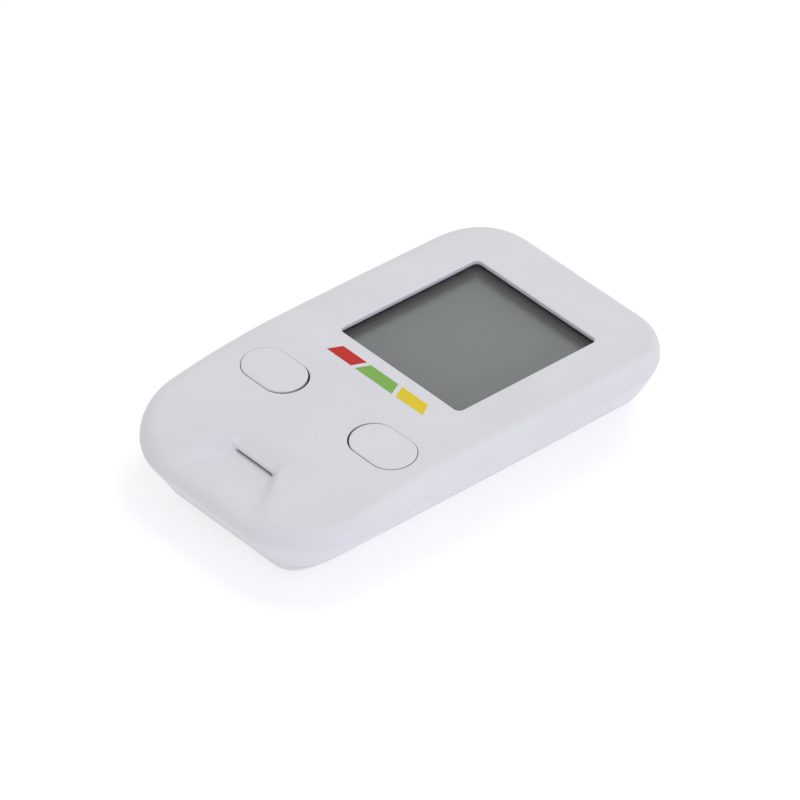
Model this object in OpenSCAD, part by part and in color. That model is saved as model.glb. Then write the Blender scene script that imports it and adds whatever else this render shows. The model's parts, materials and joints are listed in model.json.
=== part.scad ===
// Blood glucose meter with a large screen, two flush push buttons and a
// test strip slot in its nose. Millimetres. +Z is up, the nose points to -Y,
// and the origin is under the middle of the body on its resting plane.

/* [Body] */
// Length from the nose to the back end
body_l = 88.2; // [87:0.1:96]
// Width at the rim, half way along
body_w = 54; // [52:0.5:62]
// Height of the flat top over the resting plane
body_h = 17; // [16.8:0.1:20]
// Fall of the top from the flat part to the tip of the nose
nose_drop = 5; // [4:0.1:5.4]
// Rise of the underside at the tip of the nose
nose_rise = 2.1; // [0:0.05:3]
// Corner radius of the rim at the nose
nose_corner_r = 15.5; // [13:0.5:17]
// Corner radius of the rim at the back
back_corner_r = 13.2; // [10:0.1:15]
// Height of the rounded shoulder between the flat top and the rim
shoulder_h = 2.95; // [2.4:0.05:3.3]
// Inset of the shoulder at the sides
shoulder_side = 3.7; // [2.5:0.1:5]
// Inset of the underside from the rim at the sides
belly_side = 10.9; // [8:0.1:11]
// Height of the parting line between the two housings
parting_z = 3.4; // [3.2:0.1:4]

/* [Walls] */
// Thickness of the top wall
top_wall = 1.8; // [1.4:0.1:2.2]
// Thickness of the side walls, measured level
side_wall = 2.1; // [1.8:0.1:2.6]
// Thickness of the bottom wall
bottom_wall = 1.8; // [1.7:0.1:2.2]
// Height of the tongue that locates the housings on each other
tongue_h = 1; // [0.6:0.1:1.4]

/* [Screen] */
// Width of the screen opening
window_w = 30.8; // [27:0.1:32]
// Place of the opening's front edge along the body
window_front = -0.2; // [-0.3:0.1:1]
// Distance from the opening to the back end of the body
window_margin = 12.1; // [11.5:0.1:15]
// Corner radius of the screen opening
window_r = 1.8; // [0.8:0.1:3]
// Depth of the lens below the flat top
lens_recess = 0.8; // [0.5:0.1:1]
// Thickness of the lens
lens_t = 1; // [0.8:0.1:1.2]
// Overlap of the lens under the edge of the opening
lens_lap = 1.7; // [1.2:0.1:2]
// Thickness of the foam gasket under the lens
gasket_t = 0.6; // [0.4:0.1:0.8]
// Thickness of the liquid crystal glass, both plates
lcd_t = 2; // [1.6:0.1:2.2]

/* [Buttons] */
// Length of a button hole across the body
button_l = 13.7; // [11:0.1:15]
// Width of a button hole along the body
button_w = 8.8; // [7:0.1:9.4]
// Distance of each button's middle from the middle line
button_x = 13.9; // [12:0.1:15]
// Place of the buttons along the body
button_y = -16.2; // [-17.5:0.1:-15.5]
// Gap round each button
button_gap = 0.2; // [0.1:0.05:0.3]
// Travel of each button
button_travel = 0.35; // [0.2:0.05:0.5]

/* [Strip slot] */
// Width of the strip slot
slot_w = 9.5; // [7:0.1:10]
// Height of the strip slot
slot_h = 0.6; // [0.5:0.05:0.9]
// Place of the slot's mouth along the body
slot_y = -32.9; // [-33.5:0.1:-32.3]
// Height of the slot's floor
slot_z = 12.65; // [12.5:0.05:12.8]

/* [Batteries] */
// Diameter of each coin cell
cell_d = 20; // [16:0.1:20]
// Thickness of each coin cell
cell_t = 3.2; // [2.5:0.1:3.2]
// Thickness of the battery door
door_t = 1.4; // [1.2:0.1:1.5]
// Gap round the door
door_gap = 0.2; // [0.1:0.05:0.3]

/* [Board] */
// Thickness of the circuit board
board_t = 1; // [0.8:0.1:1.2]
// Width of the circuit board
board_w = 39; // [38:0.5:40]

/* [Hidden] */
$fn = 48;
eps = 0.01;
cut = 1;                    // how far a cut runs past the face it opens
seat = 0.3;                 // clearance between pieces that are only laid together
fit = 0.1;                  // clearance round a piece that is pushed into a pocket

// Body form
half_l = body_l / 2;
half_w = body_w / 2;
side_bow = 0.55;            // the sides draw in this much at both ends
slope_y = -4.4;             // the top is flat behind this line
rise_y = -18;               // the underside is flat behind this line
shoulder_nose = 3.7;
shoulder_back = 2.9;
shoulder_nose_r = 9.2;
shoulder_back_r = 5.9;
belly_nose = 5.4;
belly_back = 0.5;
belly_nose_r = 3.3;
belly_back_r = 4.6;
belly_power = 1.1;          // superellipse exponent of the flank
corner_steps = 7;
side_steps = 6;
flank_steps = 6;
shoulder_steps = 6;

// Heights of the screen stack, from the top down
ceiling_z = body_h - top_wall;
lens_top = body_h - lens_recess;
lens_bottom = lens_top - lens_t;
lcd_top = lens_bottom - gasket_t;
lcd_bottom = lcd_top - lcd_t;
reflector_t = 0.2;
reflector_bottom = lcd_bottom - reflector_t;
frame_floor = 3;
board_top = reflector_bottom - frame_floor;
board_bottom = board_top - board_t;
frame_top = min(ceiling_z, lens_bottom) - seat;

// Screen stack in plan
window_l = half_l - window_margin - window_front;
window_y = window_front + window_l / 2;
lens_w = window_w + 2 * lens_lap;
lens_l = window_l + 2 * lens_lap;
glass_margin = 1.55;
lcd_w = window_w + 2 * glass_margin;
lcd_l = window_l + 2 * glass_margin;
lcd_back_y = window_y + lcd_l / 2;
lcd_front_y = window_y - lcd_l / 2;
ledge_l = 2.3;              // the front plate reaches further to the nose than the back plate
reflector_inset = 0.5;
frame_wall = 1.6;
frame_lip = 3;              // the glass rests this far in on its carrier
frame_front = lcd_front_y - ledge_l - seat - frame_wall;
frame_back = lcd_back_y + seat + frame_wall;
frame_w = lcd_w + 2 * (seat + frame_wall);
gasket_gap = 0.2;           // the gasket stays this far out of sight
connector_l = 2;
connector_w = lcd_w - 2 * frame_lip;
connector_y = lcd_front_y - ledge_l / 2 - 0.1;

// Buttons
flange_lap = 0.75;
flange_t = 0.7;
flange_clear = 0.15;
flange_top = front_ceiling(button_y - button_w / 2 - flange_lap) - flange_clear;
flange_bottom = flange_top - flange_t;
stem_h = 0.2;
stem_r = 2.2;
plunger_r = 1.75;
plunger_top = flange_bottom - stem_h;
switch_w = 6;
plunger_show = 1;
switch_top = plunger_top - plunger_show;
plunger_depth = 0.5;        // the plunger reaches this far into the switch body at rest
plunger_fit = 0.1;

// Result bars printed in front of the screen
bar_back = -2.95;
bar_front = -5.65;
bar_t = 0.12;
bar_edges = [-12.5, -5.7, 4.85, 12.2];  // both ends of the row and its two gaps, along the front
bar_leans = [1.25, 1.15, -1.35, -1.55]; // the slant of those ends and gaps
bar_space = 1;

// Strip slot, its scoop and the connector behind it
scoop_margin = 0.55;
scoop_back_half = slot_w / 2 + scoop_margin;
scoop_splay = 0.66;         // widening of the scoop on each side per millimetre of length
scoop_tilt = 4;             // the floor falls towards the nose
scoop_reach = half_l + slot_y + 4;
scoop_floor_t = 1;          // shell kept under the scoop
scoop_floor_l = half_l + slot_y - 1.5 * side_wall;
guide_wall = 2;
guide_back = slot_y + 4;
guide_bottom = slot_z - 1.75;
port_front = guide_back + seat;
port_l = 8.7;
port_back = port_front + port_l;
port_wall = 1.45;
port_stop = 1.6;            // the strip stops this far before the back of the connector
port_w = slot_w + 2 * port_wall;
port_cover = 0.85;
port_top = slot_z + slot_h + port_cover;
contact_count = 6;
contact_w = 0.5;
contact_t = 0.25;
contact_room = 0.1;
contact_margin = 0.7;
contact_pitch = (slot_w - 2 * contact_margin) / contact_count;
contact_reach = 1.2;
contact_front = 1.3;        // the contacts begin this far behind the connector's mouth

// Battery well and door
cell_gap = 1;
cell_z = door_t + seat;
cell_back = half_l - 9.6;   // back edge of the rear cell
cell_y = [cell_back - 1.5 * cell_d - cell_gap, cell_back - cell_d / 2];
well_side = cell_d / 2 + 0.6;
well_front = cell_y[0] - well_side;
well_back = cell_y[1] + well_side;
spring_h = 0.8;             // room over the cells for their contacts
well_top = cell_z + cell_t + spring_h;
well_roof = 1;
well_wall = 1.2;
door_lap = 0.4;             // the door reaches this far past the well's walls
door_half_w = well_side + well_wall + door_lap;
door_front = well_front - well_wall - door_lap - 0.1;
door_rail = 1.2;
rail_t = 0.6;
rail_bottom = door_t - rail_t;
door_clear = 0.15;          // clearance over the door and under its rails
door_past = 5;              // its slab is cut back to the body form from here
rail_wall = 1.2;            // housing left round the door's channel
rail_roof = 0.9;
grip_count = 5;
grip_pitch = 1.6;
grip_w = 11;
grip_t = 0.7;
grip_depth = 0.35;
grip_y = well_back + 2;
arrow_w = 6;
arrow_l = 2.4;
arrow_space = 2;

// Battery contacts
contact_sheet = 0.25;
leg_w = 1.6;
leg_x = 4;
leg_room = 0.2;
leg_root = 1;
finger_r = 2;
plate_half = 3.2;
plate_side = 1;
side_contact_w = 5;
side_contact_foot = 0.4;
side_gap = 0.02;

// Screws: two behind the cells under the door, two beside the strip connector
screw_r = 0.95;
pilot_r = 1;
boss_r = 2.5;
head_r = 1.9;
head_h = 1.3;
head_pocket_r = 2.1;
cross_l = 1.2;              // length and width of the cross recess, as shares of the head's radius
cross_w = 0.3;
shank_hole_r = 1.2;
boss_foot = 6;
screw_l = 8;
thread_end = 0.5;           // the pilot hole runs this far past the screw
front_screw = [slot_w / 2 + guide_wall + boss_r + 1.75, slot_y + 5.9];
back_screw = [8, well_back + well_wall + boss_r + seat];
front_seat_z = 2.4;         // where the heads of the front screws bear
back_seat_z = door_t + door_clear + head_h + eps;
screw_places = [[front_screw, front_seat_z], [back_screw, back_seat_z]];
board_boss_r = 2;
board_screw = [16.5, frame_front - board_boss_r - 0.25];
board_hole_gap = 0.15;
boss_gap = 0.4;
board_head_r = 1.8;
board_head_h = 1;
board_screw_l = 4.5;

// Circuit board in plan
board_front = slot_y - 3.1;
board_back = frame_back;
board_front_r = 8;
board_back_r = 3;

// Parts on the underside of the board
chip_t = 1.4;
chip_w = 9;
chip_y = button_y + 2.6;
memory_x = 10.5;
memory_w = 5;
memory_l = 4;
beeper_r = 6;
beeper_h = 2.5;
beeper_y = slot_y + 6.4;
crystal_x = -9;
crystal_r = 1;
crystal_l = 6;
chip_size = [0.8, 1.6, 0.8];
sensor_space = 1.2;
capacitor_y = chip_y - chip_w / 2 - 1.4;
capacitor_pitch = 1.8;
capacitor_count = 6;
resistor_x = [-14.45, 14.45];
resistor_y = chip_y - 4.2;
resistor_pitch = 1.5;
resistor_count = 4;

// ---------------------------------------------------------------- body form

// Height of the top face over a place along the body
function top_z(y) =
    let (s = max(0, (slope_y - y) / (slope_y + half_l)))
    body_h - nose_drop * s * s;

// Height of the underside
function base_z(y) =
    let (s = max(0, (rise_y - y) / (rise_y + half_l)))
    nose_rise * s * s;

// Height of the cavity's ceiling
function front_ceiling(y) = top_z(y) - top_wall;

// One side of a rounded rectangle from the nose to the back, with bowed sides
function half_outline(w, front, back, rf, rb) =
    let (flat = [
        for (i = [0 : corner_steps])
            let (a = -90 + 90 * i / corner_steps)
            [w - rf + rf * cos(a), front + rf + rf * sin(a)],
        for (i = [1 : side_steps - 1])
            [w, front + rf + (back - front - rf - rb) * i / side_steps],
        for (i = [0 : corner_steps])
            let (a = 90 * i / corner_steps)
            [w - rb + rb * cos(a), back - rb + rb * sin(a)]
    ])
    [for (p = flat) [p[0] * (1 - side_bow * pow(p[1] / half_l, 2) / half_w), p[1]]];

// A ring of points part way between two outlines, mirrored to both sides
function blend(a, b, k) = [for (i = [0 : len(a) - 1]) a[i] + (b[i] - a[i]) * k];
function both_sides(half) =
    concat(half, [for (i = [len(half) - 1 : -1 : 0]) [-half[i][0], half[i][1], half[i][2]]]);

// All rings of the body form, from the underside up. level is the inset on
// the level, drop the inset of the top and lift that of the underside.
function form_rings(level, drop, lift) =
    let (
        w = half_w - level,
        f = -half_l + level,
        b = half_l - level,
        rim = half_outline(w, f, b, nose_corner_r - level, back_corner_r - level),
        belly = half_outline(w - belly_side, f + belly_nose, b - belly_back, belly_nose_r, belly_back_r),
        crown = half_outline(w - shoulder_side, f + shoulder_nose, b - shoulder_back,
                             shoulder_nose_r, shoulder_back_r)
    )
    concat(
        [for (i = [0 : flank_steps])
            let (
                t = 90 * i / flank_steps,
                depth = pow(cos(t), 2 / belly_power),
                out = i == flank_steps ? 1 : pow(sin(t), 2 / belly_power),
                ring = blend(rim, belly, 1 - out)
            )
            both_sides([for (p = ring)
                let (
                    high = top_z(p[1]) - drop - shoulder_h,
                    low = base_z(p[1]) + lift
                )
                [p[0], p[1], i == flank_steps ? high : high - (high - low) * depth]])],
        [for (i = [1 : shoulder_steps])
            let (t = 90 * i / shoulder_steps, ring = blend(rim, crown, 1 - cos(t)))
            both_sides([for (p = ring)
                [p[0], p[1], top_z(p[1]) - drop - shoulder_h * (1 - sin(t))]])]
    );

// Solid of the body form, closed by strips across the top and the underside
module body_form(level = 0, drop = 0, lift = 0) {
    rings = form_rings(level, drop, lift);
    n = len(rings[0]);
    m = n / 2;
    last = (len(rings) - 1) * n;
    polyhedron(
        points = [for (r = rings) for (p = r) p],
        faces = concat(
            [for (j = [0 : len(rings) - 2]) for (i = [0 : n - 1])
                let (k = (i + 1) % n) [j * n + i, (j + 1) * n + i, (j + 1) * n + k]],
            [for (j = [0 : len(rings) - 2]) for (i = [0 : n - 1])
                let (k = (i + 1) % n) [j * n + i, (j + 1) * n + k, j * n + k]],
            [for (i = [0 : m - 2]) [i, i + 1, n - 2 - i, n - 1 - i]],
            [for (i = [0 : m - 2]) [last + i, last + n - 1 - i, last + n - 2 - i, last + i + 1]]
        )
    );
}

// ---------------------------------------------------------------- helpers

// Box centred on X and Y around a place, between two heights
module block(size, place, z0, z1) {
    translate([place[0] - size[0] / 2, place[1] - size[1] / 2, z0])
        cube([size[0], size[1], z1 - z0]);
}

// Upright cylinder between two heights
module post(r, place, z0, z1) {
    translate([place[0], place[1], z0])
        cylinder(r = r, h = z1 - z0);
}

module rounded_rect(w, l, r) {
    square([w - 2 * r, l], center = true);
    square([w, l - 2 * r], center = true);
    for (x = [-1, 1]) for (y = [-1, 1])
        translate([x * (w / 2 - r), y * (l / 2 - r)]) circle(r = r);
}

module rounded_plate(w, l, r, place, z0, z1) {
    translate([place[0], place[1], z0])
        linear_extrude(z1 - z0) rounded_rect(w, l, r);
}

// Oblong with round ends, as long as l across the body
module oblong(l, w, place, z0, z1) {
    translate([place[0], place[1], z0])
        linear_extrude(z1 - z0) {
            square([l - w, w], center = true);
            for (x = [-1, 1]) translate([x * (l - w) / 2, 0]) circle(r = w / 2);
        }
}

// The same thing on both sides of the middle line
module pair(place) {
    for (x = [-1, 1]) translate([x * place[0], place[1], 0]) children();
}

// ---------------------------------------------------------------- housings

// Wedge on the tilted floor of the scoop, between two heights over that floor
module scoop_wedge(reach, margin, low, high) {
    half = scoop_back_half + margin;
    translate([0, slot_y, slot_z]) rotate([scoop_tilt, 0, 0])
        translate([0, 0, low]) linear_extrude(high - low) polygon([
            [-half, 0],
            [-half - reach * scoop_splay, -reach],
            [half + reach * scoop_splay, -reach],
            [half, 0]
        ]);
}

// One bar of the row, counted from the left
module bar_shape(i) {
    x0 = bar_edges[i] + (i > 0 ? bar_space / 2 : 0);
    x1 = bar_edges[i + 1] - (i < 2 ? bar_space / 2 : 0);
    polygon([[x0, bar_front], [x1, bar_front],
             [x1 + bar_leans[i + 1], bar_back], [x0 + bar_leans[i], bar_back]]);
}

module bar_film(i) {
    translate([0, 0, body_h - bar_t]) linear_extrude(bar_t) bar_shape(i);
}

module top_housing() color("gainsboro") difference() {
    union() {
        difference() {
            body_form();
            body_form(side_wall, top_wall, bottom_wall);
            // everything below the parting line belongs to the other housing
            translate([-body_w, -body_l, -body_h])
                cube([2 * body_w, 2 * body_l, body_h + parting_z]);
        }
        // bosses for the screws that close the housings
        pair(front_screw) post(boss_r, [0, 0], boss_foot, front_ceiling(front_screw[1]) + top_wall / 2);
        pair(back_screw) post(boss_r, [0, 0], boss_foot, ceiling_z + top_wall / 4);
        // bosses that carry the board
        pair(board_screw) post(board_boss_r, [0, 0], board_top, ceiling_z + top_wall / 2);
        // guide for the strip behind the slot
        translate([-slot_w / 2 - guide_wall, slot_y - guide_wall, guide_bottom])
            cube([slot_w + 2 * guide_wall, guide_back - slot_y + guide_wall,
                  front_ceiling(slot_y) + top_wall / 2 - guide_bottom]);
        // shell under the scoop
        scoop_wedge(scoop_floor_l, scoop_floor_t, -scoop_floor_t, 0);
    }
    // screen opening and the seat of the lens under it
    rounded_plate(window_w, window_l, window_r, [0, window_y], lens_bottom - cut, body_h + cut);
    rounded_plate(lens_w + 2 * fit, lens_l + 2 * fit, window_r, [0, window_y], lens_bottom - cut, lens_top);
    // button holes
    pair([button_x, button_y]) oblong(button_l, button_w, [0, 0], flange_bottom, body_h + cut);
    // strip slot, its scoop and the room for the connector
    block([slot_w, guide_back - slot_y + 4 * cut], [0, (slot_y + guide_back) / 2], slot_z, slot_z + slot_h);
    scoop_wedge(scoop_reach, 0, 0, nose_drop);
    translate([-port_w / 2 - seat, guide_back, board_top - cut])
        cube([port_w + 2 * seat, port_l + 2, port_top + fit - board_top + cut]);
    // shallow seats of the printed bars
    translate([0, 0, body_h - bar_t]) linear_extrude(cut)
        for (i = [0 : 2]) bar_shape(i);
    // pilot holes
    for (s = screw_places)
        pair(s[0]) post(pilot_r, [0, 0], boss_foot - cut, s[1] + screw_l + thread_end);
    pair(board_screw) post(pilot_r, [0, 0], board_top - cut, board_bottom + board_screw_l + thread_end);
    // groove over the tongue of the other housing
    difference() {
        body_form(side_wall / 2 - fit, top_wall, bottom_wall / 2);
        translate([-body_w, -body_l, parting_z + tongue_h + fit])
            cube([2 * body_w, 2 * body_l, body_h]);
    }
}

module door_channel() {
    back = half_l + door_past;
    translate([-door_half_w - door_gap, door_front - door_gap, -cut])
        cube([2 * (door_half_w + door_gap), back - door_front, door_t + door_clear + cut]);
    translate([-door_half_w - door_rail - door_gap, door_front - door_gap, rail_bottom - door_clear])
        cube([2 * (door_half_w + door_rail + door_gap), back - door_front, rail_t + 2 * door_clear]);
}

module bottom_housing() color("lavender") difference() {
    union() {
        difference() {
            body_form();
            body_form(side_wall, top_wall, bottom_wall);
            translate([-body_w, -body_l, parting_z])
                cube([2 * body_w, 2 * body_l, body_h]);
        }
        // tongue round the rim
        difference() {
            intersection() {
                body_form(side_wall / 2, top_wall, bottom_wall / 2);
                translate([-body_w, -body_l, parting_z - cut / 2])
                    cube([2 * body_w, 2 * body_l, tongue_h + cut / 2]);
            }
            body_form(side_wall, top_wall, bottom_wall);
        }
        // battery well with its roof, and the thick rails beside the door
        translate([-well_side - well_wall, well_front - well_wall, bottom_wall / 2])
            cube([2 * (well_side + well_wall), well_back - well_front + 2 * well_wall,
                  well_top + well_roof - bottom_wall / 2]);
        translate([-door_half_w - door_rail - rail_wall, door_front - rail_wall, bottom_wall / 2])
            cube([2 * (door_half_w + door_rail + rail_wall), half_l - side_wall - door_front,
                  door_t + rail_roof - bottom_wall / 2]);
        // posts under the bosses
        pair(front_screw) post(boss_r, [0, 0], bottom_wall / 2, boss_foot);
        pair(back_screw) post(boss_r, [0, 0], bottom_wall / 2, boss_foot);
    }
    // the well itself
    translate([-well_side, well_front, -cut])
        cube([2 * well_side, well_back - well_front, well_top + cut]);
    door_channel();
    // screw holes with pockets for the heads
    for (s = screw_places) pair(s[0]) {
        post(shank_hole_r, [0, 0], 0, boss_foot + cut);
        post(head_pocket_r, [0, 0], -cut, s[1]);
    }
    // slits in the roof for the legs of the battery contacts
    for (y = cell_y) {
        block([leg_w + 2 * leg_room, contact_sheet + 2 * leg_room], [-leg_x, y],
              well_top - cut, well_top + well_roof + cut);
        block([contact_sheet + 2 * leg_room, leg_w + 2 * leg_room],
              [well_side - contact_sheet / 2 - side_gap, y], well_top - cut, well_top + well_roof + cut);
    }
}

module battery_door() color("gainsboro") difference() {
    intersection() {
        body_form();
        union() {
            translate([-door_half_w, door_front, 0])
                cube([2 * door_half_w, half_l + door_past - door_front, door_t]);
            translate([-door_half_w - door_rail, door_front, rail_bottom])
                cube([2 * (door_half_w + door_rail), half_l + door_past - door_front, rail_t]);
        }
    }
    // grip grooves for the thumb
    for (i = [0 : grip_count - 1])
        block([grip_w, grip_t], [0, grip_y - i * grip_pitch], -cut, grip_depth);
    // arrow that shows the way the door slides
    translate([0, grip_y - grip_count * grip_pitch - arrow_space, -cut]) linear_extrude(cut + grip_depth)
        polygon([[-arrow_w / 2, 0], [arrow_w / 2, 0], [0, arrow_l]]);
}

// ---------------------------------------------------------------- screen

module display_window() color("lightcyan", 0.4) {
    rounded_plate(lens_w, lens_l, window_r, [0, window_y], lens_bottom, lens_top);
}

module window_gasket() color("black") difference() {
    rounded_plate(lcd_w, lcd_l, 1, [0, window_y], lcd_top, lens_bottom);
    rounded_plate(window_w + 2 * gasket_gap, window_l + 2 * gasket_gap, window_r, [0, window_y],
                  lcd_top - cut, lens_bottom + cut);
}

module lcd_panel() color("darkseagreen") {
    block([lcd_w, lcd_l], [0, window_y], lcd_bottom, lcd_bottom + lcd_t / 2);
    translate([-lcd_w / 2, lcd_front_y - ledge_l, lcd_top - lcd_t / 2])
        cube([lcd_w, lcd_l + ledge_l, lcd_t / 2]);
}

module lcd_reflector() color("silver") {
    block([lcd_w - 2 * reflector_inset, lcd_l - 2 * reflector_inset], [0, window_y],
          reflector_bottom, lcd_bottom);
}

module lcd_frame() color("whitesmoke") difference() {
    translate([-frame_w / 2, frame_front, board_top])
        cube([frame_w, frame_back - frame_front, frame_top - board_top]);
    // seat of the glass
    translate([-lcd_w / 2 - seat, frame_front + frame_wall, reflector_bottom])
        cube([lcd_w + 2 * seat, frame_back - frame_front - 2 * frame_wall, frame_top]);
    // open middle, and the slot of the contact strip
    block([lcd_w - 2 * frame_lip, lcd_l - 2 * frame_lip], [0, window_y], board_top - cut, frame_top);
    block([connector_w + 2 * fit, connector_l + 2 * fit], [0, connector_y], board_top - cut, frame_top);
}

module lcd_connector() color("hotpink") {
    block([connector_w, connector_l], [0, connector_y], board_top, lcd_top - lcd_t / 2);
}

module red_bar() color("firebrick") bar_film(0);
module green_bar() color("yellowgreen") bar_film(1);
module yellow_bar() color("gold") bar_film(2);

// ---------------------------------------------------------------- buttons

module button(side) color("gainsboro") {
    place = [side * button_x, button_y];
    intersection() {
        body_form();
        oblong(button_l - 2 * button_gap, button_w - 2 * button_gap, place, flange_bottom, body_h);
    }
    oblong(button_l + 2 * flange_lap, button_w + 2 * flange_lap, place, flange_bottom, flange_top);
    post(stem_r, place, plunger_top, flange_bottom + eps);
}

module switch_body(side) color("dimgray") difference() {
    place = [side * button_x, button_y];
    block([switch_w, switch_w], place, board_top, switch_top);
    post(plunger_r + plunger_fit, place,
         switch_top - plunger_depth - button_travel - fit, switch_top + cut);
}

module plunger(side) color("black") {
    post(plunger_r, [side * button_x, button_y], switch_top - plunger_depth, plunger_top);
}

module left_button() button(-1);
module right_button() button(1);
module left_switch() switch_body(-1);
module right_switch() switch_body(1);
module left_plunger() plunger(-1);
module right_plunger() plunger(1);

// ---------------------------------------------------------------- strip connector

function contact_x(i) = (i - (contact_count - 1) / 2) * contact_pitch;

module strip_port() color("ivory") difference() {
    translate([-port_w / 2, port_front, board_top])
        cube([port_w, port_l, port_top - board_top]);
    // channel for the strip
    translate([-slot_w / 2, port_front - cut, slot_z])
        cube([slot_w, port_l + cut - port_stop, slot_h]);
    // one groove for each contact, open at the back
    for (i = [0 : contact_count - 1])
        translate([contact_x(i) - contact_w / 2 - contact_room, port_front + contact_front - seat,
                   slot_z + slot_h - eps])
            cube([contact_w + 2 * contact_room, port_l, contact_t + 2 * contact_room]);
}

module port_contacts() color("gold") {
    top = slot_z + slot_h + contact_t + contact_room / 2;
    for (i = [0 : contact_count - 1]) translate([contact_x(i) - contact_w / 2, 0, 0]) {
        translate([0, port_front + contact_front, top - contact_t])
            cube([contact_w, port_l - contact_front + contact_room + contact_t, contact_t]);
        translate([0, port_back + contact_room, board_top])
            cube([contact_w, contact_t, top - board_top]);
        translate([0, port_back + contact_room, board_top])
            cube([contact_w, contact_reach, contact_t]);
    }
}

// ---------------------------------------------------------------- circuit board

module main_board() color("seagreen") difference() {
    // two overlapping plates, one with the corners of each end
    union() {
        part_l = 0.75 * (board_back - board_front);
        rounded_plate(board_w, part_l, board_front_r, [0, board_front + part_l / 2],
                      board_bottom, board_top);
        rounded_plate(board_w, part_l, board_back_r, [0, board_back - part_l / 2],
                      board_bottom, board_top);
    }
    // clearance round the front bosses, and holes for the board's own screws
    pair(front_screw) post(boss_r + boss_gap, [0, 0], board_bottom - cut, board_top + cut);
    pair(board_screw) post(screw_r + board_hole_gap, [0, 0], board_bottom - cut, board_top + cut);
}

module processor() color("black") {
    block([chip_w, chip_w], [0, chip_y], board_bottom - chip_t, board_bottom);
}

module memory_chip() color("black") {
    block([memory_w, memory_l], [memory_x, chip_y], board_bottom - chip_t, board_bottom);
}

module crystal() color("silver") {
    translate([crystal_x, resistor_y - crystal_l / 2, board_bottom - crystal_r]) rotate([-90, 0, 0])
        cylinder(r = crystal_r, h = crystal_l);
}

// Row of small parts, centred on x
module chip_row(x, y, count, pitch) {
    for (i = [0 : count - 1])
        block([chip_size[0], chip_size[1]], [x + (i - (count - 1) / 2) * pitch, y],
              board_bottom - chip_size[2], board_bottom);
}

module capacitors() color("tan") {
    chip_row(0, capacitor_y, capacitor_count, capacitor_pitch);
}

module resistors() color("black") {
    for (x = resistor_x) chip_row(x, resistor_y, resistor_count, resistor_pitch);
}

module temperature_sensor() color("black") {
    block([chip_size[0], chip_size[1]], [port_w / 2 + sensor_space, port_front + sensor_space],
          board_top, board_top + chip_size[2]);
}

module beeper() color("goldenrod") {
    post(beeper_r, [0, beeper_y], board_bottom - beeper_h, board_bottom);
}

// ---------------------------------------------------------------- batteries

module coin_cell(y) color("silver") {
    rim = 0.3;
    cap_r = cell_d / 2 - 1.4;
    translate([0, y, cell_z]) rotate_extrude()
        polygon([
            [0, 0], [cell_d / 2 - rim, 0], [cell_d / 2, rim], [cell_d / 2, cell_t - 2 * rim],
            [cell_d / 2 - rim, cell_t - rim], [cap_r, cell_t - rim], [cap_r, cell_t], [0, cell_t]
        ]);
}

module battery_front() coin_cell(cell_y[0]);
module battery_back() coin_cell(cell_y[1]);

// A plate under the roof with a round dimple on the cell and a leg to the board
module negative_contacts() color("khaki") {
    for (y = cell_y) {
        block([2 * (plate_half + plate_side), 2 * plate_half], [0, y], well_top - contact_sheet, well_top);
        post(finger_r, [0, y], cell_z + cell_t, well_top - contact_sheet + eps);
        block([leg_w, contact_sheet], [-leg_x, y], well_top - contact_sheet, board_bottom);
    }
}

// An upright strip beside each cell
module positive_contacts() color("khaki") {
    for (y = cell_y) {
        translate([well_side - contact_sheet, y - side_contact_w / 2, cell_z + side_contact_foot])
            cube([contact_sheet - side_gap, side_contact_w, well_top - cell_z - side_contact_foot]);
        translate([well_side - contact_sheet, y - leg_w / 2, well_top - leg_root])
            cube([contact_sheet - side_gap, leg_w, board_bottom - well_top + leg_root]);
    }
}

// ---------------------------------------------------------------- fasteners

// Pan head screw with a cross recess, head down, bearing at height z
module screw(z, length, r, hr, hh) {
    difference() {
        union() {
            post(hr, [0, 0], z - hh, z);
            post(r, [0, 0], z - eps, z + length);
        }
        block([cross_l * hr, cross_w * hr], [0, 0], z - hh - cut, z - hh / 2);
        block([cross_w * hr, cross_l * hr], [0, 0], z - hh - cut, z - hh / 2);
    }
}

module housing_screws() color("slategray") {
    for (s = screw_places) pair(s[0]) screw(s[1], screw_l, screw_r, head_r, head_h);
}

module board_screws() color("slategray") {
    pair(board_screw) screw(board_bottom, board_screw_l, screw_r, board_head_r, board_head_h);
}

top_housing();
bottom_housing();
battery_door();
display_window();
window_gasket();
lcd_panel();
lcd_reflector();
lcd_frame();
lcd_connector();
red_bar();
green_bar();
yellow_bar();
left_button();
right_button();
left_switch();
right_switch();
left_plunger();
right_plunger();
strip_port();
port_contacts();
main_board();
processor();
memory_chip();
crystal();
capacitors();
resistors();
temperature_sensor();
beeper();
battery_front();
battery_back();
negative_contacts();
positive_contacts();
housing_screws();
board_screws();
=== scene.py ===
# Blood glucose meter: the finished surfaces and materials round the fixed frame.
# Lengths are in millimetres up to the point where a mesh is made, in metres; textures are in metres.
import json
import math

import bmesh
import bpy
import numpy as np
from mathutils import Matrix, Vector


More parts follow.
